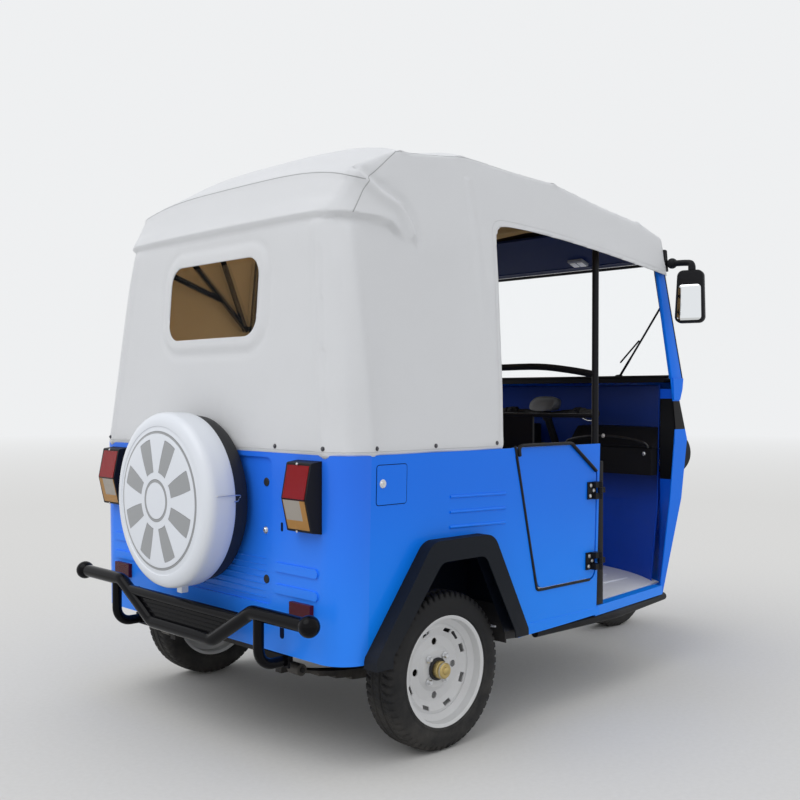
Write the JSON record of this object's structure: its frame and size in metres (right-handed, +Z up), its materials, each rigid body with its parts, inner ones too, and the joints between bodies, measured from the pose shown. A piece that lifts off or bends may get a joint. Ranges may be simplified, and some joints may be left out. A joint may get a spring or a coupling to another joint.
{
  "type": "auto rickshaw",
  "caption": "Three-wheeled auto rickshaw with a pressed steel tub, fabric canopy on bows, half doors, covered spare wheel, tail bumper and raked handlebar steering.",
  "frame": {"origin": "on the ground, under the middle of the vehicle's overall box", "axes": "+X forward (the way it drives), +Y to its left, +Z up"},
  "size_m": [2.6808, 1.522, 1.884],
  "materials": {
    "body_blue": "gloss",
    "interior_blue": "satin",
    "floor_grey": "satin",
    "frame_black": "gloss",
    "axle_iron": "matt",
    "flare_grey": "matt",
    "black_plastic": "satin",
    "tyre_rubber": "matt",
    "rim_white": "satin",
    "cover_white": "satin",
    "canopy_cloth": "coated cloth",
    "window_clear": "clear sheet",
    "glass_clear": "clear",
    "lens_red": "clear lens",
    "lamp_clear": "clear lens",
    "lens_amber": "clear lens",
    "seat_black": "grained vinyl",
    "battery_black": "plain"
  },
  "bodies": {
    "vehicle": {"battery_block": "battery_black", "bench_cushions": "seat_black", "body_side_left": "body_blue", "body_side_right": "body_blue", "canopy_body": "canopy_cloth", "canopy_frame": "frame_black", "canopy_roof": "canopy_cloth", "chassis_frame": "frame_black", "dash_console": "black_plastic", "driver_cushions": "seat_black", "driver_seat_base": "frame_black", "floor_panel": "floor_grey", "front_cowl": "body_blue", "front_indicators": "lens_amber", "front_visor": "black_plastic", "headlamp_bezels": "black_plastic", "headlamps": "lamp_clear", "inner_front_panel": "interior_blue", "leaf_springs": "axle_iron", "mirrors": "black_plastic", "partition_frame": "frame_black", "post_hinges": "frame_black", "rear_axle": "axle_iron", "rear_bumper": "frame_black", "rear_lamp_lenses": "lens_red", "rear_panel": "body_blue", "rear_window": "window_clear", "seat_box": "interior_blue", "side_skirts": "black_plastic", "spare_carrier": "frame_black", "spare_cover": "cover_white", "spare_tyre": "tyre_rubber", "tail_lamps": "black_plastic", "wheel_arch_flares": "flare_grey", "windscreen": "glass_clear", "windscreen_frame": "body_blue", "wiper": "black_plastic"},
    "wheel_rear_left": {"tyre_rear_left": "tyre_rubber", "rim_rear_left": "rim_white"},
    "wheel_rear_right": {"tyre_rear_right": "tyre_rubber", "rim_rear_right": "rim_white"},
    "steering": {"fork": "frame_black", "handlebar": "black_plastic", "front_mudguard": "black_plastic"},
    "wheel_front": {"tyre_front": "tyre_rubber", "rim_front": "rim_white"},
    "door_left_body": {"door_left": "body_blue", "door_hinges_left": "frame_black"},
    "door_right_body": {"door_right": "body_blue", "door_hinges_right": "frame_black"}
  },
  "joints": [
    {"name": "rear_left_wheel_spin", "type": "hinge", "parent": "vehicle", "child": "wheel_rear_left", "pos_m": [-0.74237, 0.616, 0.24], "axis": [0, 1, 0], "continuous": true},
    {"name": "rear_right_wheel_spin", "type": "hinge", "parent": "vehicle", "child": "wheel_rear_right", "pos_m": [-0.74237, -0.616, 0.24], "axis": [0, 1, 0], "continuous": true},
    {"name": "steering_turn", "type": "hinge", "parent": "vehicle", "child": "steering", "pos_m": [0.59763, 0, 0.99], "axis": [-0.454, 0, 0.891], "range_deg": [-35, 35]},
    {"name": "front_wheel_spin", "type": "hinge", "parent": "steering", "child": "wheel_front", "pos_m": [1.07763, 0, 0.24], "axis": [0, 1, 0], "continuous": true},
    {"name": "door_left_swing", "type": "hinge", "parent": "vehicle", "child": "door_left_body", "pos_m": [0.00363, 0.702, 0.6], "axis": [0, 0, -1], "range_deg": [0, 80]},
    {"name": "door_right_swing", "type": "hinge", "parent": "vehicle", "child": "door_right_body", "pos_m": [0.00363, -0.702, 0.6], "axis": [0, 0, 1], "range_deg": [0, 80]}
  ]
}
